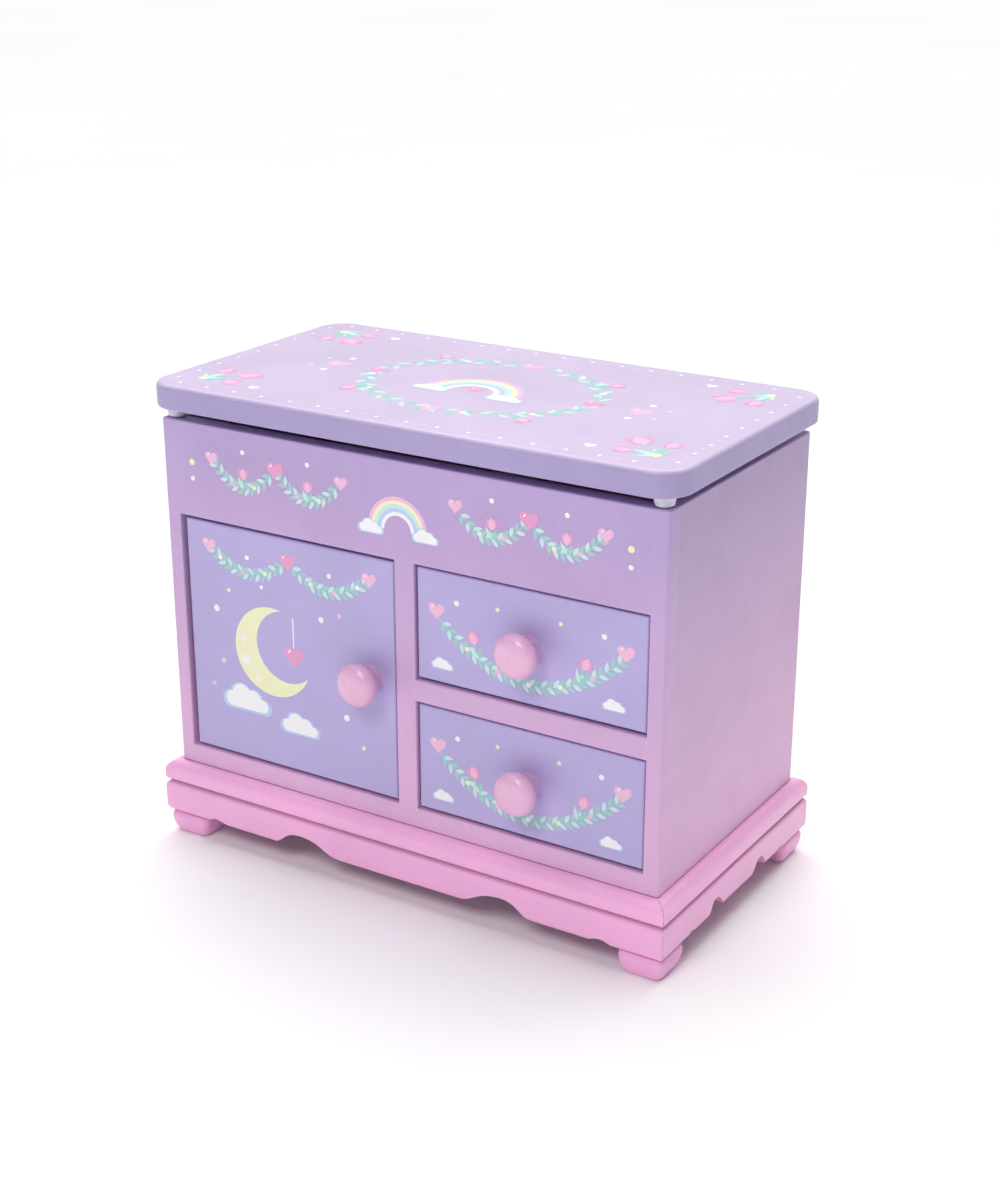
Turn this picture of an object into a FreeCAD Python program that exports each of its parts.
import FreeCAD
import Part
import math
import os

# Ballerina jewellery box: a lidded cabinet on a scalloped plinth, with a door, two drawers and a
# musical turntable behind the door. Millimetres; X to the right, Y to the back, Z up.
# The origin is on the floor, under the middle of the box from its knobs to the back of its plinth.

Vector = FreeCAD.Vector

# Cabinet boards
body_width = 202.0
body_depth = 105.2
body_height = 133.0
board = 6.0
frame_thickness = 6.0
stile_width = 6.0
centre_stile_width = 8.0
centre_stile_x = 2.1
bottom_rail_height = 7.3
mid_rail_height = 8.0
lower_opening_height = 40.9
top_panel_height = 35.0
tray_floor_thickness = 4.0
corner_round = 1.3
edge_round = 0.6

# Plinth: feet, scalloped apron and upper moulding
foot_size = 17.0
foot_height = 8.3
foot_taper = 2.4
foot_top_round = 1.3
foot_corner = 2.5
foot_inset = 0.6
apron_height = 13.0
apron_outset = 4.7
apron_depth = 10.0
apron_top_round = 2.4
apron_bottom_round = 2.8
arch_rise = 6.2
notch_rise = 2.4
moulding_height = 8.1
moulding_outset = 4.7
moulding_depth = 15.0
moulding_round = 4.3
moulding_lip_round = 2.0
# Where a scallop turns, as shares of the way from the middle of a side to its foot:
# end of the middle drop, top of the arch, both ends of the lobe, top of the notch
front_scallop = (0.23, 0.49, 0.665, 0.84, 0.935)
side_scallop = (0.20, 0.45, 0.63, 0.78, 0.89)

# Lid, its mirror and its bumpers
lid_gap = 4.2
lid_thickness = 9.0
lid_overhang = 4.0
lid_back_overhang = 4.6
lid_corner = 11.0
lid_top_round = 1.8
lid_under_round = 0.9
mirror_thickness = 2.0
lid_mirror_recess = 1.0
lid_mirror_margin = 20.0
bumper_diameter = 8.0
bumper_taper = 0.8
bumper_round = 0.9
bumper_inset = 4.1
bumper_clearance = 0.2

# Lid hinges, with a tail that lands on a lug to stop the lid when it stands open
hinge_spacing = 124.0
hinge_width = 25.0
leaf_thickness = 1.0
lid_leaf_reach = 9.0
body_leaf_drop = 14.0
knuckle_radius = 2.0
knuckle_clearance = 0.2
hinge_pin_radius = 1.0
running_clearance = 0.05
hinge_joint_gap = 0.3
stop_width = 6.0
stop_tail_reach = 3.6
stop_lug_drop = 2.7
stop_lug_height = 1.5
stop_lug_reach = 1.95
hinge_screw_radius = 0.8
hinge_screw_length = 5.0
screw_head_radius = 1.6
screw_head_height = 0.8
screw_hole_clearance = 0.1
body_screw_margin = 3.2
lid_screw_margin = 2.4

# Door and drawers
front_recess = 1.0
front_thickness = 6.0
front_round = 0.8
front_gap = 0.9
door_top_gap = 1.3
door_hinge_gap = 1.7
pivot_inset = 4.0
pivot_pin_radius = 1.0
pivot_pin_depth = 5.0
strike_radius = 4.0
strike_thickness = 0.8
strike_inset = 11.0
catch_gap = 0.3
catch_width = 14.0
catch_depth = 9.0
catch_height = 8.0
drawer_wall = 4.0
drawer_bottom_thickness = 3.0
drawer_wall_drop = 12.0
drawer_side_gap = 0.6
drawer_run_gap = 0.3
drawer_back_gap = 2.0
lining_thickness = 1.0
lining_clearance = 0.3

# Turned knobs
knob_length = 12.3
knob_head_radius = 7.75
knob_head_height = 8.0
knob_neck_radius = 4.8
knob_tenon_radius = 2.5
knob_tenon_length = 4.5
knob_inset = 10.4
# How far the curves of the knob keep their first direction, as shares of their run:
# up the neck, under the head, over the shoulder and across the crown
knob_neck_pull = 0.45
knob_swell_pull = 0.78
knob_shoulder_pull = 0.72
knob_crown_pull = 0.62

# Top tray
divider_thickness = 3.0
divider_height = 22.0
divider_x = 20.0
ring_roll_count = 5
ring_roll_diameter = 14.5
ring_roll_gap = 1.2
ring_roll_chamfer = 3.0

# Compartment behind the door
stage_thickness = 4.0
stage_front_thickness = 3.0
stage_front_setback = 6.0
stage_clearance = 0.9
window_margin = 12.0
window_sill = 4.0
window_head = 3.0
window_round = 4.0
niche_mirror_margin = 5.0

# Musical movement
movement_y = 51.0
bed_thickness = 2.5
bed_margin = 4.0
barrel_radius = 15.0
barrel_height = 7.5
barrel_gap = 0.5
barrel_cover = 1.0
crown_teeth = 30
crown_tooth_height = 1.7
crown_tooth_depth = 3.0
crown_tooth_setback = 0.2
crown_tooth_root = 1.35
crown_tooth_tip = 0.7
pinion_teeth = 10
pinion_pitch_radius = 4.5
pinion_addendum = 0.7
pinion_dedendum = 1.1
pinion_tooth_root = 1.5
pinion_tooth_tip = 0.7
arbor_radius = 1.0
cylinder_radius = 6.5
cylinder_length = 16.0
cylinder_offset = 17.4
pin_size = 0.36
pin_height = 0.6
pins_per_note = 4
pin_turn = 97.0
wheel_gap = 0.6
wheel_width = 1.6
end_wheel_teeth = 30
governor_pinion_teeth = 8
governor_module = 0.5
# Teeth of the governor's gears, in modules
gear_addendum = 0.9
gear_dedendum = 1.2
gear_root_width = 1.25
gear_tip_width = 0.75
governor_arbor_radius = 0.8
governor_wheel_teeth = 16
governor_wheel_radius = 5.2
governor_tooth_height = 1.0
bearing_width = 1.4
bearing_half_breadth = 3.2
bearing_cover = 2.0
worm_radius = 1.2
worm_clearance = 0.15
worm_pivot_radius = 0.6
fly_radius = 4.4
fly_height = 5.0
fly_thickness = 0.5
fly_lift = 1.2
governor_arm_thickness = 1.4
comb_teeth = 18
comb_slit = 0.25
comb_thickness = 1.0
comb_tooth_short = 9.0
comb_tooth_long = 15.0
comb_base_depth = 8.0
comb_clearance = 0.15
bed_screw_radius = 1.2
bed_screw_head_radius = 2.4
bed_screw_head_height = 1.4
comb_screw_radius = 1.0
comb_screw_head_radius = 1.9
comb_screw_head_height = 1.1
winding_arbor_radius = 1.8
key_drop = 17.0
key_hub_radius = 3.0
key_hub_height = 6.0
key_wing_radius = 4.6
key_wing_reach = 6.0
key_wing_hole = 1.8
key_thickness = 2.0
spindle_radius = 1.5
spindle_clearance = 0.7
turntable_radius = 9.0
turntable_thickness = 2.0
turntable_gap = 0.5
turntable_round = 0.6

# Ballerina, standing on the turntable
figure_headroom = 5.0
# The dancer's shape is drawn in units, this many to its height
figure_units = 54.0
tutu_radius = 18.0
tutu_thickness = 2.4
tutu_rim_thickness = 1.0
tutu_droop = 3.0
tutu_scallops = 16
tutu_scallop_depth = 1.2
tutu_clearance = 0.3

# Levels and planes that follow from the sizes above
knob_reach = knob_length - front_recess
left_x = -body_width / 2
right_x = body_width / 2
front_y = -(body_depth + moulding_outset - knob_reach) / 2
back_y = front_y + body_depth
frame_back = front_y + frame_thickness
inner_left = left_x + board
inner_right = right_x - board
inner_back = back_y - board
moulding_bottom = foot_height + apron_height
plinth_top = moulding_bottom + moulding_height
floor_top = plinth_top + bottom_rail_height
body_top = plinth_top + body_height
opening_top = body_top - top_panel_height
mid_rail_bottom = floor_top + lower_opening_height
shelf_top = mid_rail_bottom + mid_rail_height
tray_top = opening_top + tray_floor_thickness
lid_bottom = body_top + lid_gap
lid_top = lid_bottom + lid_thickness
door_x0 = left_x + stile_width
door_x1 = centre_stile_x - centre_stile_width / 2
drawer_x0 = centre_stile_x + centre_stile_width / 2
drawer_x1 = right_x - stile_width
partition_x0 = centre_stile_x - board / 2
partition_x1 = centre_stile_x + board / 2
panel_front = front_y + front_recess
panel_back = panel_front + front_thickness

pieces = {}


def keep(name, *solids):
    """File the solids of one node under its name."""
    pieces[name] = solids[0] if len(solids) == 1 else Part.makeCompound(list(solids))


def box(x0, x1, y0, y1, z0, z1):
    """A block between two corners."""
    return Part.makeBox(x1 - x0, y1 - y0, z1 - z0, Vector(x0, y0, z0))


def rod(radius, start, end):
    """A round bar from one point to another."""
    run = end - start
    return Part.makeCylinder(radius, run.Length, start, run)


def line(start, end):
    """A straight edge."""
    return Part.LineSegment(start, end).toShape()


def arc(start, middle, end):
    """A round edge through three points."""
    return Part.Arc(start, middle, end).toShape()


def curve(*poles):
    """A Bezier edge."""
    bezier = Part.BezierCurve()
    bezier.setPoles(list(poles))
    return bezier.toShape()


def face(edges):
    """A face inside a closed run of edges."""
    return Part.Face(Part.Wire(edges))


def polygon(points):
    """A face inside a closed run of points."""
    return Part.Face(Part.makePolygon(list(points) + [points[0]]))


def edges_at(shape, **planes):
    """The edges of a shape that lie in all the named planes, such as x=3, y=0."""
    found = []
    for edge in shape.Edges:
        extent = edge.BoundBox
        spans = {"x": (extent.XMin, extent.XMax), "y": (extent.YMin, extent.YMax),
                 "z": (extent.ZMin, extent.ZMax)}
        if all(abs(end - level) < 1e-3 for axis, level in planes.items() for end in spans[axis]):
            found.append(edge)
    return found


def soften(shape, radius, *places):
    """Round the edges of a shape that lie at each of the places."""
    edges = []
    for place in places:
        edges += edges_at(shape, **place)
    return shape.makeFillet(radius, edges)


def rounded_block(x0, x1, y0, y1, z0, z1, corner):
    """A block with rounded upright corners."""
    block = box(x0, x1, y0, y1, z0, z1)
    places = [{"x": x, "y": y} for x in (x0, x1) for y in (y0, y1)]
    return soften(block, corner, *places)


def front_frame():
    """The six pieces of the cabinet's front, whose edges are rounded as one frame."""
    outer = {"y": front_y}
    whole = box(left_x, right_x, front_y, frame_back, plinth_top, body_top)
    for x0, x1, z0, z1 in ((door_x0, door_x1, floor_top, opening_top),
                           (drawer_x0, drawer_x1, floor_top, mid_rail_bottom),
                           (drawer_x0, drawer_x1, shelf_top, opening_top)):
        whole = whole.cut(box(x0, x1, front_y, frame_back, z0, z1))
    whole = soften(whole, corner_round, dict(outer, x=left_x), dict(outer, x=right_x))
    places = [dict(outer, x=x) for x in (door_x0, door_x1, drawer_x0, drawer_x1)]
    places += [dict(outer, z=z) for z in (floor_top, mid_rail_bottom, shelf_top, opening_top, body_top)]
    whole = soften(whole, edge_round, *places)

    def board_of(x0, x1, z0, z1):
        return whole.common(box(x0, x1, front_y, frame_back, z0, z1))

    top = board_of(left_x, right_x, opening_top, body_top)
    keep("front_top_panel", top.cut(pivot_hole(opening_top, 1)))
    keep("left_stile", board_of(left_x, door_x0, plinth_top, opening_top))
    keep("centre_stile", board_of(door_x1, drawer_x0, floor_top, opening_top))
    keep("right_stile", board_of(drawer_x1, right_x, plinth_top, opening_top))
    keep("mid_rail", board_of(drawer_x0, drawer_x1, mid_rail_bottom, shelf_top))
    bottom = board_of(door_x0, drawer_x1, plinth_top, floor_top)
    keep("bottom_rail", bottom.cut(pivot_hole(floor_top, -1)))


def pivot_axis(z):
    """The point of the door's pivot axis at a height."""
    return Vector(door_x0 + door_hinge_gap + pivot_inset, panel_front + front_thickness / 2, z)


def pivot_hole(level, way):
    """The hole for a door pin that runs up or down from a level."""
    radius = pivot_pin_radius + running_clearance
    depth = pivot_pin_depth + running_clearance
    return rod(radius, pivot_axis(level), pivot_axis(level + way * depth))


def carcass():
    """Sides, back, floor and the boards that divide the cabinet."""
    for name, x0, outside in (("left", left_x, left_x), ("right", inner_right, right_x)):
        side = box(x0, x0 + board, frame_back, back_y, plinth_top, body_top)
        side = soften(side, corner_round, {"x": outside, "y": back_y})
        keep(name + "_side_panel", soften(side, edge_round, {"x": outside, "z": body_top}))
    back = box(inner_left, inner_right, inner_back, back_y, plinth_top, body_top)
    back = soften(back, edge_round, {"y": back_y, "z": body_top})
    keep("back_panel", back.cut(body_screw_holes()))
    floor = box(inner_left, inner_right, frame_back, inner_back, plinth_top, floor_top)
    keep("floor_board", floor.cut(floor_holes()))
    keep("tray_floor", box(inner_left, inner_right, frame_back, inner_back, opening_top, tray_top))
    keep("partition", box(partition_x0, partition_x1, frame_back, inner_back, floor_top, opening_top))
    keep("drawer_shelf", box(partition_x1, inner_right, frame_back, inner_back,
                             shelf_top - board, shelf_top))


def moulding_section(place):
    """Section of the upper moulding: a big round over its outer top, a smaller one under its lip."""
    bend = 1 - math.sqrt(0.5)
    lip = moulding_lip_round
    crown = moulding_round
    low = moulding_bottom
    high = plinth_top
    return face([
        line(place(moulding_depth, low), place(lip, low)),
        arc(place(lip, low), place(lip * bend, low + lip * bend), place(0, low + lip)),
        line(place(0, low + lip), place(0, high - crown)),
        arc(place(0, high - crown), place(crown * bend, high - crown * bend), place(crown, high)),
        line(place(crown, high), place(moulding_depth, high)),
        line(place(moulding_depth, high), place(moulding_depth, low))])


def apron_section(place):
    """Section of the apron: a flat face between a rounded top edge and a rounded foot."""
    bend = 1 - math.sqrt(0.5)
    crown = apron_top_round
    under = apron_bottom_round
    low = foot_height
    high = moulding_bottom
    return face([
        line(place(apron_depth, low), place(under, low)),
        arc(place(under, low), place(under * bend, low + under * bend), place(0, low + under)),
        line(place(0, low + under), place(0, high - crown)),
        arc(place(0, high - crown), place(crown * bend, high - crown * bend), place(crown, high)),
        line(place(crown, high), place(apron_depth, high)),
        line(place(apron_depth, high), place(apron_depth, low))])


def mitred_sides(outset, depth, low, high, section):
    """The four sides of a frame round the body, cut to 45 degrees where they meet."""
    x0, x1 = left_x - outset, right_x + outset
    y0, y1 = front_y - outset, back_y + outset
    outer = [Vector(x0, y0), Vector(x1, y0), Vector(x1, y1), Vector(x0, y1)]
    inner = [Vector(x0 + depth, y0 + depth), Vector(x1 - depth, y0 + depth),
             Vector(x1 - depth, y1 - depth), Vector(x0 + depth, y1 - depth)]
    sides = {}
    for index, name in enumerate(("front", "right", "back", "left")):
        after = (index + 1) % 4
        start = outer[index]
        run = outer[after] - start
        along = Vector(run).normalize()
        inward = Vector(-along.y, along.x, 0)

        def place(inset, z):
            return start + inward * inset + Vector(0, 0, z)

        plan = polygon([start, outer[after], inner[after], inner[index]])
        plan.translate(Vector(0, 0, low))
        side = section(place).extrude(run).common(plan.extrude(Vector(0, 0, high - low)))
        sides[name] = (side, start + run / 2, along, inward, run.Length / 2)
    return sides


def scallop(middle, along, inward, half_length, shares):
    """What is cut from under an apron: waves with level tops and bottoms, between the feet."""
    half_span = half_length - (foot_size + foot_inset)
    rises = (0, arch_rise, 0, 0, notch_rise)
    turns = [(share * half_span, rise) for share, rise in zip(shares, rises)] + [(half_span, 0)]
    turns = [(-run, rise) for run, rise in reversed(turns)] + turns

    def place(run, rise):
        return middle + along * run + Vector(0, 0, foot_height + rise)

    edges = []
    for (run0, rise0), (run1, rise1) in zip(turns, turns[1:]):
        halfway = (run0 + run1) / 2
        if rise0 == rise1:
            edges.append(line(place(run0, rise0), place(run1, rise1)))
        else:
            edges.append(curve(place(run0, rise0), place(halfway, rise0),
                               place(halfway, rise1), place(run1, rise1)))
    below = -foot_height / 2
    edges.append(line(place(half_span, 0), place(half_span, below)))
    edges.append(line(place(half_span, below), place(-half_span, below)))
    edges.append(line(place(-half_span, below), place(-half_span, 0)))
    return face(edges).extrude(inward * apron_depth)


def rounded_square(x, y, half, corner, z):
    """A square outline with rounded corners, about a centre."""
    flat = half - corner
    bend = corner * math.sqrt(0.5)
    edges = []
    for quarter in range(4):
        turn = FreeCAD.Rotation(Vector(0, 0, 1), 90 * quarter)
        points = [Vector(half, -flat), Vector(half, flat),
                  Vector(flat + bend, flat + bend), Vector(flat, half)]
        a, b, c, d = [turn.multVec(point) + Vector(x, y, z) for point in points]
        edges += [line(a, b), arc(b, c, d)]
    return Part.Wire(edges)


def foot(x, y):
    """One pillow-shaped foot, drawn in to its sole and its top along quarters of ellipses."""
    belly = foot_height - foot_top_round
    levels = [(share * belly, 1 - share, foot_taper) for share in (0.0, 0.2, 0.5, 1.0)]
    levels += [(belly + share * foot_top_round, share, foot_top_round) for share in (0.6, 1.0)]
    outlines = []
    for z, share, round_off in levels:
        drawn_in = round_off * (1 - math.sqrt(1 - share ** 2))
        outlines.append(rounded_square(x, y, foot_size / 2 - drawn_in, foot_corner, z))
    return Part.makeLoft(outlines, True)


def plinth():
    """Upper moulding, scalloped apron and feet."""
    mouldings = mitred_sides(moulding_outset, moulding_depth, moulding_bottom, plinth_top,
                             moulding_section)
    keep("plinth_mouldings", *[side[0] for side in mouldings.values()])
    aprons = mitred_sides(apron_outset, apron_depth, foot_height, moulding_bottom, apron_section)
    for name, (side, middle, along, inward, half_length) in aprons.items():
        shares = front_scallop if name in ("front", "back") else side_scallop
        keep("apron_" + name, side.cut(scallop(middle, along, inward, half_length, shares)))
    reach = apron_outset - foot_inset - foot_size / 2
    keep("feet", *[foot(x, y) for x in (left_x - reach, right_x + reach)
                   for y in (front_y - reach, back_y + reach)])


# Places on the lid hinges
hinge_axis_y = back_y + knuckle_radius + knuckle_clearance
hinge_axis_z = lid_bottom - knuckle_radius - knuckle_clearance
hinge_places = (-hinge_spacing / 2, hinge_spacing / 2)
hinge_screw_step = hinge_width / 2 - body_screw_margin
body_screw_z = hinge_axis_z - body_leaf_drop + body_screw_margin
lid_screw_y = hinge_axis_y - lid_leaf_reach + lid_screw_margin


def hinge_screw_xs():
    """Where the screws of both hinges stand, along X."""
    return [middle + way * hinge_screw_step for middle in hinge_places for way in (-1, 1)]


def hinge_screw(x, y, z, way):
    """A round-headed screw whose head seats at a point, and whose shank runs along way."""
    seat = Vector(x, y, z)
    shank = rod(hinge_screw_radius, seat, seat + way * hinge_screw_length)
    return shank.fuse(rod(screw_head_radius, seat, seat - way * screw_head_height)).removeSplitter()


def hinge_screw_hole(x, y, z, way):
    """The hole that a hinge screw stands in."""
    seat = Vector(x, y, z)
    return rod(hinge_screw_radius + screw_hole_clearance, seat,
               seat + way * (hinge_screw_length + screw_hole_clearance))


body_screw_way = Vector(0, -1, 0)
lid_screw_way = Vector(0, 0, 1)


def body_screw_holes():
    """Holes of the screws that hold the lower leaves to the back panel."""
    holes = [hinge_screw_hole(x, back_y + leaf_thickness, body_screw_z, body_screw_way)
             for x in hinge_screw_xs()]
    return Part.makeCompound(holes)


def lid_screw_holes():
    """Holes of the screws that hold the upper leaves to the lid."""
    holes = [hinge_screw_hole(x, lid_screw_y, lid_bottom - leaf_thickness, lid_screw_way)
             for x in hinge_screw_xs()]
    return Part.makeCompound(holes)


def knuckle(x0, x1):
    """One knuckle of a hinge, bored for the pin."""
    start = Vector(x0, hinge_axis_y, hinge_axis_z)
    end = Vector(x1, hinge_axis_y, hinge_axis_z)
    return rod(knuckle_radius, start, end), rod(hinge_pin_radius + running_clearance, start, end)


def hinge(middle):
    """Lower leaf, upper leaf and pin of one hinge; the upper leaf has the knuckle in the middle."""
    x0, x1 = middle - hinge_width / 2, middle + hinge_width / 2
    mid0, mid1 = middle - hinge_width / 6, middle + hinge_width / 6
    side_gap = hinge_joint_gap / 2
    clear = knuckle_radius + hinge_joint_gap
    leaf_y = back_y + leaf_thickness

    lower = box(x0, x1, back_y, leaf_y, hinge_axis_z - body_leaf_drop, hinge_axis_z)
    lower = lower.cut(box(mid0 - side_gap, mid1 + side_gap, back_y, leaf_y,
                          hinge_axis_z - clear, hinge_axis_z))
    bores = []
    for a, b in ((x0, mid0 - side_gap), (mid1 + side_gap, x1)):
        tube, bore = knuckle(a, b)
        lower = lower.fuse(tube)
        bores.append(bore)
    lug_top = hinge_axis_z - stop_lug_drop
    lug = box(middle - stop_width / 2, middle + stop_width / 2, back_y, leaf_y + stop_lug_reach,
              lug_top - stop_lug_height, lug_top)
    lower = lower.fuse(lug).cut(Part.makeCompound(bores)).removeSplitter()

    under = lid_bottom - leaf_thickness
    upper = box(x0, x1, hinge_axis_y - lid_leaf_reach, hinge_axis_y - clear, under, lid_bottom)
    tube, bore = knuckle(mid0 + side_gap, mid1 - side_gap)
    strap = box(mid0 + side_gap, mid1 - side_gap, hinge_axis_y - clear, hinge_axis_y,
                under, lid_bottom)
    tail = box(middle - stop_width / 2, middle + stop_width / 2, hinge_axis_y,
               hinge_axis_y + stop_tail_reach, under, lid_bottom)
    upper = upper.fuse([strap, tail, tube]).cut(bore).removeSplitter()

    pin = rod(hinge_pin_radius, Vector(x0, hinge_axis_y, hinge_axis_z),
              Vector(x1, hinge_axis_y, hinge_axis_z))
    return lower.cut(body_screw_holes()), upper.cut(lid_screw_holes()), pin


def lid_hinges():
    """Both hinges with their pins and screws."""
    lowers, uppers, pins = zip(*[hinge(middle) for middle in hinge_places])
    keep("hinge_body_leaves", *lowers)
    keep("hinge_lid_leaves", *uppers)
    keep("hinge_pins", *pins)
    keep("hinge_body_screws", *[hinge_screw(x, back_y + leaf_thickness, body_screw_z, body_screw_way)
                                for x in hinge_screw_xs()])
    keep("hinge_lid_screws", *[hinge_screw(x, lid_screw_y, lid_bottom - leaf_thickness, lid_screw_way)
                               for x in hinge_screw_xs()])


def lid():
    """Lid board with the mirror let into its underside, and the bumpers it closes on."""
    panel = rounded_block(left_x - lid_overhang, right_x + lid_overhang, front_y - lid_overhang,
                          back_y + lid_back_overhang, lid_bottom, lid_top, lid_corner)
    panel = soften(panel, lid_top_round, {"z": lid_top})
    panel = soften(panel, lid_under_round, {"z": lid_bottom})
    mirror = box(left_x + lid_mirror_margin, right_x - lid_mirror_margin, front_y + lid_mirror_margin,
                 back_y - lid_mirror_margin, lid_bottom + lid_mirror_recess - mirror_thickness,
                 lid_bottom + lid_mirror_recess)
    keep("lid_panel", panel.cut(mirror).cut(lid_screw_holes()))
    keep("lid_mirror", mirror)
    height = lid_gap - bumper_clearance
    wide = bumper_diameter / 2
    bumpers = []
    for x in (left_x + bumper_inset, right_x - bumper_inset):
        foot_of = Vector(x, front_y + bumper_inset, lid_bottom - height)
        bumper = Part.makeCone(wide - bumper_taper, wide, height, foot_of)
        bumpers.append(soften(bumper, bumper_round, {"z": lid_bottom - height}))
    keep("lid_bumpers", *bumpers)


def knob(x, z):
    """A turned mushroom knob on a front, and the hole that its tenon is glued into."""
    def place(radius, out):
        return Vector(x + radius, panel_front - out, z)

    head, neck = knob_head_radius, knob_neck_radius
    wide, tip = knob_head_height, knob_length
    profile = face([
        line(place(0, -knob_tenon_length), place(knob_tenon_radius, -knob_tenon_length)),
        line(place(knob_tenon_radius, -knob_tenon_length), place(knob_tenon_radius, 0)),
        line(place(knob_tenon_radius, 0), place(neck, 0)),
        curve(place(neck, 0), place(neck, wide * knob_neck_pull),
              place(head, wide * knob_swell_pull), place(head, wide)),
        curve(place(head, wide), place(head, wide + (tip - wide) * knob_shoulder_pull),
              place(head * knob_crown_pull, tip), place(0, tip)),
        line(place(0, tip), place(0, -knob_tenon_length))])
    turned = profile.revolve(place(0, 0), Vector(0, 1, 0), 360)
    hole = rod(knob_tenon_radius + running_clearance, place(0, 0),
               place(0, -knob_tenon_length - running_clearance))
    return turned, hole


def front_board(x0, x1, z0, z1):
    """A door or drawer front, softened round its face."""
    panel = box(x0, x1, panel_front, panel_back, z0, z1)
    places = [{"y": panel_front, "x": x} for x in (x0, x1)]
    places += [{"y": panel_front, "z": z} for z in (z0, z1)]
    return soften(panel, front_round, *places)


def door():
    """Door on its pivot pins, with its knob, and the catch that holds it shut."""
    x0, x1 = door_x0 + door_hinge_gap, door_x1 - front_gap
    z0, z1 = floor_top + front_gap, opening_top - door_top_gap
    turned, hole = knob(x1 - knob_inset, (z0 + z1) / 2)
    sockets = [pivot_hole(z0, 1), pivot_hole(z1, -1)]
    panel = front_board(x0, x1, z0, z1).cut(Part.makeCompound([hole] + sockets))
    keep("door_panel", panel)
    keep("door_knob", turned)
    keep("door_pivot_pins",
         rod(pivot_pin_radius, pivot_axis(z0 + pivot_pin_depth),
             pivot_axis(floor_top - pivot_pin_depth)),
         rod(pivot_pin_radius, pivot_axis(z1 - pivot_pin_depth),
             pivot_axis(opening_top + pivot_pin_depth)))
    strike_x, strike_z = x1 - strike_inset, z1 - strike_radius
    strike_back = panel_back + strike_thickness
    keep("door_strike_plate", rod(strike_radius, Vector(strike_x, panel_back, strike_z),
                                  Vector(strike_x, strike_back, strike_z)))
    catch_y = strike_back + catch_gap
    catch = box(strike_x - catch_width / 2, strike_x + catch_width / 2, catch_y, catch_y + catch_depth,
                opening_top - catch_height, opening_top)
    keep("door_magnet_catch", soften(catch, edge_round, {"z": opening_top - catch_height}))


def drawer(name, low, high):
    """One drawer between two levels: front, three walls, bottom, felt lining and knob."""
    x0, x1 = drawer_x0 + drawer_side_gap, drawer_x1 - drawer_side_gap
    rear = inner_back - drawer_back_gap
    base = low + drawer_run_gap
    rim = high - drawer_wall_drop
    turned, hole = knob((x0 + x1) / 2, (low + high) / 2)
    keep(name + "_front", front_board(x0, x1, low + front_gap, high - front_gap).cut(hole))
    keep(name + "_knob", turned)
    keep(name + "_walls",
         box(x0, x0 + drawer_wall, panel_back, rear, base, rim),
         box(x1 - drawer_wall, x1, panel_back, rear, base, rim),
         box(x0 + drawer_wall, x1 - drawer_wall, rear - drawer_wall, rear, base, rim))
    inside = (x0 + drawer_wall, x1 - drawer_wall, panel_back, rear - drawer_wall)
    floor_level = base + drawer_bottom_thickness
    keep(name + "_bottom", box(*inside, base, floor_level))
    keep(name + "_lining", felt(*inside, floor_level))


def felt(x0, x1, y0, y1, z):
    """A felt pad that lies in a compartment, a little clear of its walls."""
    clear = lining_clearance
    return box(x0 + clear, x1 - clear, y0 + clear, y1 - clear, z, z + lining_thickness)


def tray():
    """Felt, divider and ring rolls of the tray under the lid."""
    keep("tray_lining", felt(inner_left, inner_right, frame_back, inner_back, tray_top))
    pad = tray_top + lining_thickness
    half = divider_thickness / 2
    divider = box(divider_x - half, divider_x + half, frame_back, inner_back, pad, pad + divider_height)
    keep("tray_divider", soften(divider, edge_round, {"z": pad + divider_height, "x": divider_x - half},
                                {"z": pad + divider_height, "x": divider_x + half}))
    radius = ring_roll_diameter / 2
    step = ring_roll_diameter + ring_roll_gap
    first = (frame_back + inner_back) / 2 - step * (ring_roll_count - 1) / 2
    x0, x1 = divider_x + half + lining_clearance, inner_right - lining_clearance
    rolls = []
    for index in range(ring_roll_count):
        y = first + index * step
        roll = rod(radius, Vector(x0, y, pad + radius), Vector(x1, y, pad + radius))
        ends = edges_at(roll, x=x0) + edges_at(roll, x=x1)
        rolls.append(roll.makeChamfer(ring_roll_chamfer, ends))
    keep("ring_rolls", *rolls)


# Places in the movement: the spindle stands in the middle of the compartment behind the door
spindle_x = (inner_left + partition_x0) / 2
spindle_y = front_y + movement_y
bed_top = floor_top + bed_thickness
barrel_bottom = bed_top + barrel_gap
barrel_top = barrel_bottom + barrel_height
pinion_axis_z = barrel_top + crown_tooth_height / 2 + pinion_pitch_radius
cylinder_x0 = spindle_x + cylinder_offset
cylinder_x1 = cylinder_x0 + cylinder_length
end_wheel_x0 = cylinder_x1 + wheel_gap
end_wheel_x1 = end_wheel_x0 + wheel_width
governor_wheel_x0 = end_wheel_x1 + wheel_gap
governor_wheel_x1 = governor_wheel_x0 + wheel_width
end_bearing_x0 = governor_wheel_x1 + wheel_gap
end_bearing_x1 = end_bearing_x0 + bearing_width
end_wheel_pitch = governor_module * end_wheel_teeth / 2
governor_pinion_pitch = governor_module * governor_pinion_teeth / 2
governor_y = spindle_y + end_wheel_pitch + governor_pinion_pitch
end_wheel_tip = end_wheel_pitch + gear_addendum * governor_module
worm_x = (governor_wheel_x0 + governor_wheel_x1) / 2
worm_y = governor_y + governor_wheel_radius + worm_clearance + worm_radius
governor_arm_z = pinion_axis_z + governor_wheel_radius + wheel_gap
pin_tip = cylinder_radius + pin_height
bearing_x1 = cylinder_x0 - wheel_gap
bearing_x0 = bearing_x1 - bearing_width
comb_tip_y = spindle_y - pin_tip - comb_clearance
comb_root_y = comb_tip_y - comb_tooth_long
comb_back_y = comb_root_y - comb_base_depth
comb_z0 = pinion_axis_z - comb_thickness
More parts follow.
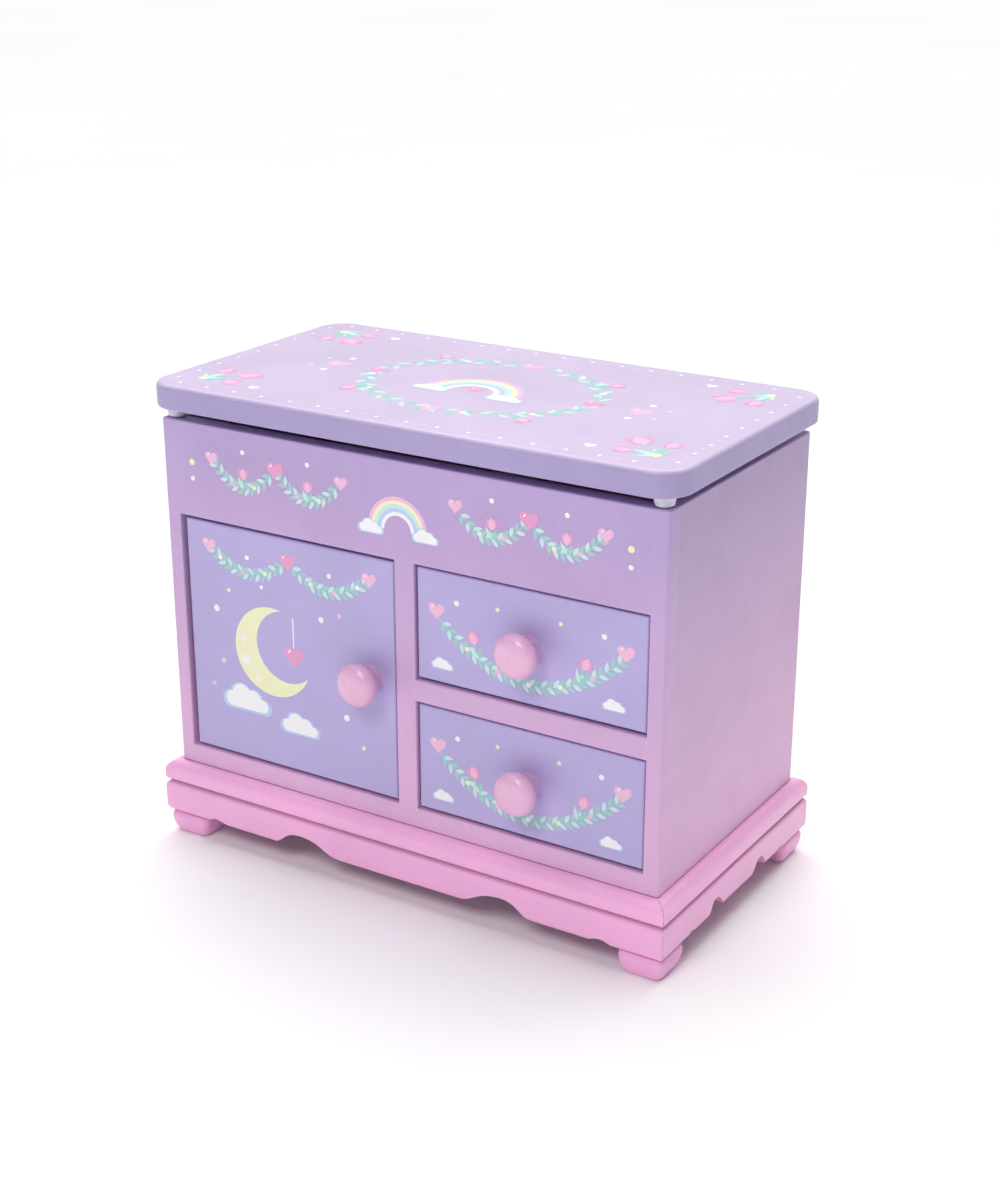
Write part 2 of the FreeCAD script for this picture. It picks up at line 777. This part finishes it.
bed_x0 = spindle_x - barrel_radius - bed_margin
bed_x1 = end_bearing_x1 + bed_margin / 2
bed_y0 = comb_back_y
bed_y1 = worm_y + fly_radius + bed_margin
movement_top = max(pinion_axis_z + end_wheel_tip, governor_arm_z + governor_arm_thickness)
stage_bottom = movement_top + stage_clearance
stage_top = stage_bottom + stage_thickness
stage_front_y = panel_back + stage_front_setback
turntable_top = stage_top + turntable_gap + turntable_thickness


def bed_screw_places():
    """Where the bedplate is screwed to the floor board."""
    near = bed_screw_head_radius
    return [(bed_x0 + near, bed_y0 + near), (bed_x0 + near, bed_y1 - near),
            (bed_x1 - near, bed_y1 - near)]


def floor_holes():
    """Holes in the floor board for the winding arbor and the bedplate's screws."""
    holes = [rod(winding_arbor_radius + spindle_clearance, Vector(spindle_x, spindle_y, plinth_top),
                 Vector(spindle_x, spindle_y, floor_top))]
    radius = bed_screw_radius + screw_hole_clearance
    holes += [rod(radius, Vector(x, y, plinth_top), Vector(x, y, floor_top))
              for x, y in bed_screw_places()]
    return Part.makeCompound(holes)


def toothed_disc(teeth, root, tip, root_width, tip_width, turn, y, z, x0, x1):
    """A wheel on an axis along X, with straight-sided teeth; one tooth points at the angle turn."""
    points = []
    for index in range(teeth):
        middle = turn + 360.0 * index / teeth
        for radius, width, way in ((root, root_width, -1), (tip, tip_width, -1),
                                   (tip, tip_width, 1), (root, root_width, 1)):
            angle = math.radians(middle) + way * math.asin(width / 2 / radius)
            points.append(Vector(x0, y + radius * math.cos(angle), z + radius * math.sin(angle)))
    return polygon(points).extrude(Vector(x1 - x0, 0, 0))


def governor_gear(teeth, turn, y):
    """One of the two gears that take the cylinder's turning to the governor."""
    module = governor_module
    pitch = module * teeth / 2
    return toothed_disc(teeth, pitch - gear_dedendum * module, pitch + gear_addendum * module,
                        gear_root_width * module, gear_tip_width * module, turn,
                        y, pinion_axis_z, end_wheel_x0, end_wheel_x1)


def arbor(radius, y, z, x0, x1):
    """A shaft along X."""
    return rod(radius, Vector(x0, y, z), Vector(x1, y, z))


def spring_barrel():
    """Spring barrel with crown teeth round its top, bored from below for the winding arbor."""
    barrel = rod(barrel_radius, Vector(spindle_x, spindle_y, barrel_bottom),
                 Vector(spindle_x, spindle_y, barrel_top))
    root, tip = crown_tooth_root / 2, crown_tooth_tip / 2
    inner = spindle_x + barrel_radius - crown_tooth_depth
    low, high = barrel_top, barrel_top + crown_tooth_height
    tooth = polygon([Vector(inner, spindle_y - root, low), Vector(inner, spindle_y + root, low),
                     Vector(inner, spindle_y + tip, high), Vector(inner, spindle_y - tip, high)])
    tooth = tooth.extrude(Vector(crown_tooth_depth - crown_tooth_setback, 0, 0))
    teeth = []
    for index in range(crown_teeth):
        copy = tooth.copy()
        copy.rotate(Vector(spindle_x, spindle_y, 0), Vector(0, 0, 1), 360.0 * (index + 0.5) / crown_teeth)
        teeth.append(copy)
    bore = rod(winding_arbor_radius + running_clearance, Vector(spindle_x, spindle_y, barrel_bottom),
               Vector(spindle_x, spindle_y, barrel_top - barrel_cover))
    keep("spring_barrel", barrel.fuse(teeth).cut(bore).removeSplitter())


def pinned_cylinder():
    """Cylinder with its tune pins, driving pinion and end wheel on one arbor."""
    y, z = spindle_y, pinion_axis_z
    pinion_x1 = spindle_x + barrel_radius - running_clearance
    pinion_x0 = spindle_x + barrel_radius - crown_tooth_depth
    pinion = toothed_disc(pinion_teeth, pinion_pitch_radius - pinion_dedendum,
                          pinion_pitch_radius + pinion_addendum, pinion_tooth_root, pinion_tooth_tip, -90,
                          y, z, pinion_x0, pinion_x1)
    wheel = governor_gear(end_wheel_teeth, 0, y)
    drum = arbor(cylinder_radius, y, z, cylinder_x0, cylinder_x1)
    shaft = arbor(arbor_radius, y, z, pinion_x0, end_bearing_x1)
    pins = []
    for note in range(comb_teeth):
        x = cylinder_x0 + (note + 0.5) * cylinder_length / comb_teeth
        for beat in range(pins_per_note):
            pin = box(x - pin_size / 2, x + pin_size / 2, y - pin_size / 2, y + pin_size / 2,
                      z + cylinder_radius - pin_height, z + pin_tip)
            pin.rotate(Vector(x, y, z), Vector(1, 0, 0), pin_turn * note + 360.0 * beat / pins_per_note)
            pins.append(pin)
    keep("pinned_cylinder", drum.fuse([shaft, pinion, wheel] + pins).removeSplitter())


def comb():
    """Steel comb: one tooth for each note, longest at the bass end."""
    x0, x1 = cylinder_x0, cylinder_x1
    plate = box(x0, x1, comb_back_y, comb_tip_y, comb_z0, comb_z0 + comb_thickness)
    step = (x1 - x0) / comb_teeth
    slits = []
    for index in range(1, comb_teeth):
        share = index / comb_teeth
        length = comb_tooth_long + (comb_tooth_short - comb_tooth_long) * share
        x = x0 + index * step
        slits.append(box(x - comb_slit / 2, x + comb_slit / 2, comb_tip_y - length, comb_tip_y,
                         comb_z0, comb_z0 + comb_thickness))
    holes = [rod(comb_screw_radius + screw_hole_clearance, Vector(x, y, comb_z0),
                 Vector(x, y, comb_z0 + comb_thickness)) for x, y in comb_screw_places()]
    keep("comb", plate.cut(Part.makeCompound(slits + holes)))


def comb_screw_places():
    """Where the comb is screwed to its block."""
    inset = cylinder_length / 4
    y = comb_back_y + comb_base_depth / 2
    return [(cylinder_x0 + inset, y), (cylinder_x1 - inset, y)]


def bedplate():
    """Bedplate with the comb's block and the two bearings of the cylinder, in one casting."""
    bed = box(bed_x0, bed_x1, bed_y0, bed_y1, floor_top, bed_top)
    block = box(cylinder_x0, cylinder_x1, comb_back_y, comb_back_y + comb_base_depth, bed_top, comb_z0)
    high = pinion_axis_z + bearing_half_breadth
    first = box(bearing_x0, bearing_x1, spindle_y - bearing_half_breadth,
                spindle_y + bearing_half_breadth, bed_top, high)
    last = box(end_bearing_x0, end_bearing_x1, spindle_y - bearing_half_breadth,
               governor_y + bearing_cover, bed_top, high)
    bores = [arbor(arbor_radius + running_clearance, spindle_y, pinion_axis_z, bearing_x0, end_bearing_x1),
             arbor(governor_arbor_radius + running_clearance, governor_y, pinion_axis_z,
                   end_bearing_x0, end_bearing_x1),
             rod(winding_arbor_radius + running_clearance, Vector(spindle_x, spindle_y, floor_top),
                 Vector(spindle_x, spindle_y, bed_top)),
             rod(worm_pivot_radius + running_clearance, Vector(worm_x, worm_y, bed_top - bed_thickness / 2),
                 Vector(worm_x, worm_y, bed_top))]
    bores += [rod(comb_screw_radius + screw_hole_clearance, Vector(x, y, bed_top), Vector(x, y, comb_z0))
              for x, y in comb_screw_places()]
    bores += [rod(bed_screw_radius + screw_hole_clearance, Vector(x, y, floor_top), Vector(x, y, bed_top))
              for x, y in bed_screw_places()]
    casting = bed.fuse([block, first, last]).cut(Part.makeCompound(bores))
    keep("movement_bedplate", casting.removeSplitter())


def movement_screws():
    """Screws of the comb, from above, and of the bedplate, from under the floor board."""
    screws = []
    for x, y in comb_screw_places():
        seat = comb_z0 + comb_thickness
        shank = rod(comb_screw_radius, Vector(x, y, bed_top), Vector(x, y, seat))
        head = rod(comb_screw_head_radius, Vector(x, y, seat), Vector(x, y, seat + comb_screw_head_height))
        screws.append(shank.fuse(head).removeSplitter())
    for x, y in bed_screw_places():
        shank = rod(bed_screw_radius, Vector(x, y, plinth_top), Vector(x, y, bed_top))
        head = rod(bed_screw_head_radius, Vector(x, y, plinth_top - bed_screw_head_height),
                   Vector(x, y, plinth_top))
        screws.append(shank.fuse(head).removeSplitter())
    keep("movement_screws", *screws)


def governor():
    """Bracket, toothed wheel and fly of the governor that holds the tune's pace."""
    upright_x1 = end_wheel_x0 - wheel_gap
    upright_x0 = upright_x1 - bearing_width
    y0 = spindle_y + pin_tip + wheel_gap
    y1 = governor_y + bearing_cover
    arm_top = governor_arm_z + governor_arm_thickness
    upright = box(upright_x0, upright_x1, y0, y1, bed_top, arm_top)
    arm = box(upright_x0, worm_x + bearing_cover, y0, worm_y + bearing_cover, governor_arm_z, arm_top)
    bores = [arbor(governor_arbor_radius + running_clearance, governor_y, pinion_axis_z,
                   upright_x0, upright_x1),
             rod(worm_pivot_radius + running_clearance, Vector(worm_x, worm_y, governor_arm_z),
                 Vector(worm_x, worm_y, arm_top))]
    keep("governor_bracket", upright.fuse(arm).cut(Part.makeCompound(bores)).removeSplitter())

    half_step = 180.0 / governor_pinion_teeth
    pinion = governor_gear(governor_pinion_teeth, half_step, governor_y)
    tooth_width = math.pi * governor_wheel_radius / governor_wheel_teeth
    wheel = toothed_disc(governor_wheel_teeth, governor_wheel_radius - governor_tooth_height,
                         governor_wheel_radius, tooth_width, tooth_width / 2, 0, governor_y, pinion_axis_z,
                         governor_wheel_x0, governor_wheel_x1)
    shaft = arbor(governor_arbor_radius, governor_y, pinion_axis_z, upright_x0, end_bearing_x1)
    keep("governor_wheel", shaft.fuse([pinion, wheel]).removeSplitter())

    fly_z = bed_top + fly_lift
    worm = rod(worm_radius, Vector(worm_x, worm_y, fly_z),
               Vector(worm_x, worm_y, governor_arm_z - wheel_gap))
    pivot = rod(worm_pivot_radius, Vector(worm_x, worm_y, bed_top - bed_thickness / 2),
                Vector(worm_x, worm_y, arm_top))
    vane = box(worm_x - fly_radius, worm_x + fly_radius, worm_y - fly_thickness / 2,
               worm_y + fly_thickness / 2, fly_z, fly_z + fly_height)
    keep("governor_fly", worm.fuse([pivot, vane]).removeSplitter())


def winding_key():
    """Butterfly key under the floor board, on the arbor that winds the spring."""
    bottom = plinth_top - key_drop
    hub_bottom = plinth_top - bed_screw_head_height - key_hub_height
    middle = Vector(spindle_x, spindle_y, bottom + key_wing_radius)
    across = Vector(0, key_thickness / 2, 0)
    key = rod(winding_arbor_radius, Vector(spindle_x, spindle_y, bottom + key_wing_radius / 2),
              Vector(spindle_x, spindle_y, barrel_top - barrel_cover - barrel_gap))
    hub = rod(key_hub_radius, Vector(spindle_x, spindle_y, hub_bottom),
              Vector(spindle_x, spindle_y, hub_bottom + key_hub_height))
    stem = box(spindle_x - key_hub_radius, spindle_x + key_hub_radius, spindle_y - key_thickness / 2,
               spindle_y + key_thickness / 2, bottom + key_wing_radius / 2, hub_bottom)
    wings = []
    holes = []
    for way in (-1, 1):
        centre = middle + Vector(way * key_wing_reach, 0, 0)
        wings.append(rod(key_wing_radius, centre - across, centre + across))
        holes.append(rod(key_wing_hole, centre - across, centre + across))
    keep("winding_key", key.fuse([hub, stem] + wings).cut(Part.makeCompound(holes)).removeSplitter())


def stage():
    """Stage over the movement, its front with a window, and the mirror behind it."""
    x0, x1 = inner_left, partition_x0
    deck = box(x0, x1, stage_front_y, inner_back, stage_bottom, stage_top)
    deck = soften(deck, edge_round, {"y": stage_front_y, "z": stage_top})
    spindle_hole = rod(spindle_radius + spindle_clearance, Vector(spindle_x, spindle_y, stage_bottom),
                       Vector(spindle_x, spindle_y, stage_top))
    keep("stage_board", deck.cut(spindle_hole))
    front_back = stage_front_y + stage_front_thickness
    front = box(x0, x1, stage_front_y, front_back, floor_top, stage_bottom)
    window = box(x0 + window_margin, x1 - window_margin, stage_front_y, front_back,
                 floor_top + window_sill, stage_bottom - window_head)
    corners = [{"x": x, "z": z} for x in (x0 + window_margin, x1 - window_margin)
               for z in (floor_top + window_sill, stage_bottom - window_head)]
    window = soften(window, window_round, *corners)
    keep("stage_front", front.cut(window))
    margin = niche_mirror_margin
    keep("niche_mirror", box(x0 + margin, x1 - margin, inner_back - mirror_thickness, inner_back,
                             stage_top + margin, opening_top - margin))


def turntable():
    """Turntable on the spindle that the barrel carries round."""
    low = stage_top + turntable_gap
    disc = rod(turntable_radius, Vector(spindle_x, spindle_y, low),
               Vector(spindle_x, spindle_y, turntable_top))
    disc = soften(disc, turntable_round, {"z": turntable_top})
    spindle = rod(spindle_radius, Vector(spindle_x, spindle_y, barrel_top),
                  Vector(spindle_x, spindle_y, low))
    keep("turntable", disc.fuse(spindle).removeSplitter())


def figure_place(x, y, z):
    """A point of the dancer, in the figure's units from the middle of the turntable's top."""
    unit = (opening_top - figure_headroom - turntable_top) / figure_units
    return Vector(spindle_x, spindle_y, turntable_top) + Vector(x, y, z) * unit


def figure_size(units):
    """A length of the dancer in millimetres."""
    return (figure_place(units, 0, 0) - figure_place(0, 0, 0)).Length


def oval(x, y, z, wide, deep):
    """A level oval outline of the dancer: its middle and its half breadths."""
    middle = figure_place(x, y, z)
    if wide >= deep:
        return Part.Wire(Part.Ellipse(middle, figure_size(wide), figure_size(deep)).toShape())
    outline = Part.Wire(Part.Ellipse(middle, figure_size(deep), figure_size(wide)).toShape())
    outline.rotate(middle, Vector(0, 0, 1), 90)
    return outline


def limb(*ovals):
    """A limb of the dancer, lofted through level ovals."""
    return Part.makeLoft([oval(*values) for values in ovals], True)


def leg(way):
    """One leg, from the point of the shoe to the hip; way is -1 or 1."""
    return limb((way * 1.15, -0.2 * way, 0, 0.95, 0.9), (way * 1.2, -0.2 * way, 3.2, 1.15, 1.1),
                (way * 1.3, 0.2, 9, 1.85, 1.8), (way * 1.35, 0, 13.5, 1.6, 1.55),
                (way * 1.5, 0, 20, 2.1, 2.3), (way * 1.7, 0, 25, 2.2, 2.6))


def arm(way):
    """One arm, bowed out from the shoulder to the hand overhead; way is -1 or 1."""
    shoulder = figure_place(way * 3.4, 0, 36.4)
    elbow = figure_place(way * 7.4, -1.4, 43.5)
    hand = figure_place(way * 1.4, -2.4, 52.4)
    path = Part.Wire([arc(shoulder, elbow, hand)])
    start = path.Edges[0].tangentAt(path.Edges[0].FirstParameter)
    section = Part.Wire(Part.Circle(shoulder, start, figure_size(0.85)).toShape())
    return path.makePipeShell([section], True, False)


def ballerina():
    """Dancer on the points of both feet with arms in a ring overhead, and the tutu."""
    torso = limb((0, 0, 23, 3.7, 2.8), (0, 0, 26, 3.4, 2.6), (0, 0, 29.5, 2.45, 2.0),
                 (0, -0.3, 33.5, 3.1, 2.4), (0, -0.1, 36.3, 3.6, 1.9), (0, 0, 37.8, 2.2, 1.4))
    neck = limb((0, 0, 36.8, 1.3, 1.2), (0, -0.1, 39.0, 1.0, 1.0), (0, -0.2, 41.2, 1.15, 1.15))
    stretch = FreeCAD.Matrix()
    stretch.scale(figure_size(2.55), figure_size(2.9), figure_size(3.35))
    head = Part.makeSphere(1.0).transformGeometry(stretch)
    head.translate(figure_place(0, -0.4, 43.4))
    bun = Part.makeSphere(figure_size(1.45), figure_place(0, 1.7, 46.2))
    keep("ballerina_figure", torso.fuse([leg(-1), leg(1), neck, head, bun, arm(-1), arm(1)]))

    waist = figure_place(0, 0, 27.0)
    hole = Vector(figure_size(3.4) + tutu_clearance, 0, 0)
    rim = Vector(tutu_radius, 0, -tutu_droop)
    half = Vector(0, 0, tutu_thickness / 2)
    half_rim = Vector(0, 0, tutu_rim_thickness / 2)
    skirt = polygon([waist + hole + half, waist + rim + half_rim,
                     waist + rim - half_rim, waist + hole - half])
    skirt = skirt.revolve(waist, Vector(0, 0, 1), 360)
    bites = []
    bite_radius = math.pi * tutu_radius / tutu_scallops / 2
    reach = tutu_radius + bite_radius - tutu_scallop_depth
    deep = Vector(0, 0, tutu_droop + tutu_thickness)
    for index in range(tutu_scallops):
        angle = 2 * math.pi * (index + 0.5) / tutu_scallops
        middle = waist + Vector(reach * math.cos(angle), reach * math.sin(angle), 0)
        bites.append(rod(bite_radius, middle - deep, middle + deep))
    keep("ballerina_tutu", skirt.cut(Part.makeCompound(bites)))


front_frame()
carcass()
plinth()
lid()
lid_hinges()
door()
drawer("upper_drawer", shelf_top, opening_top)
drawer("lower_drawer", floor_top, mid_rail_bottom)
tray()
stage()
bedplate()
spring_barrel()
winding_key()
pinned_cylinder()
comb()
governor()
movement_screws()
turntable()
ballerina()

os.makedirs("parts", exist_ok=True)
for name, shape in pieces.items():
    shape.exportStep("parts/%s.step" % name)
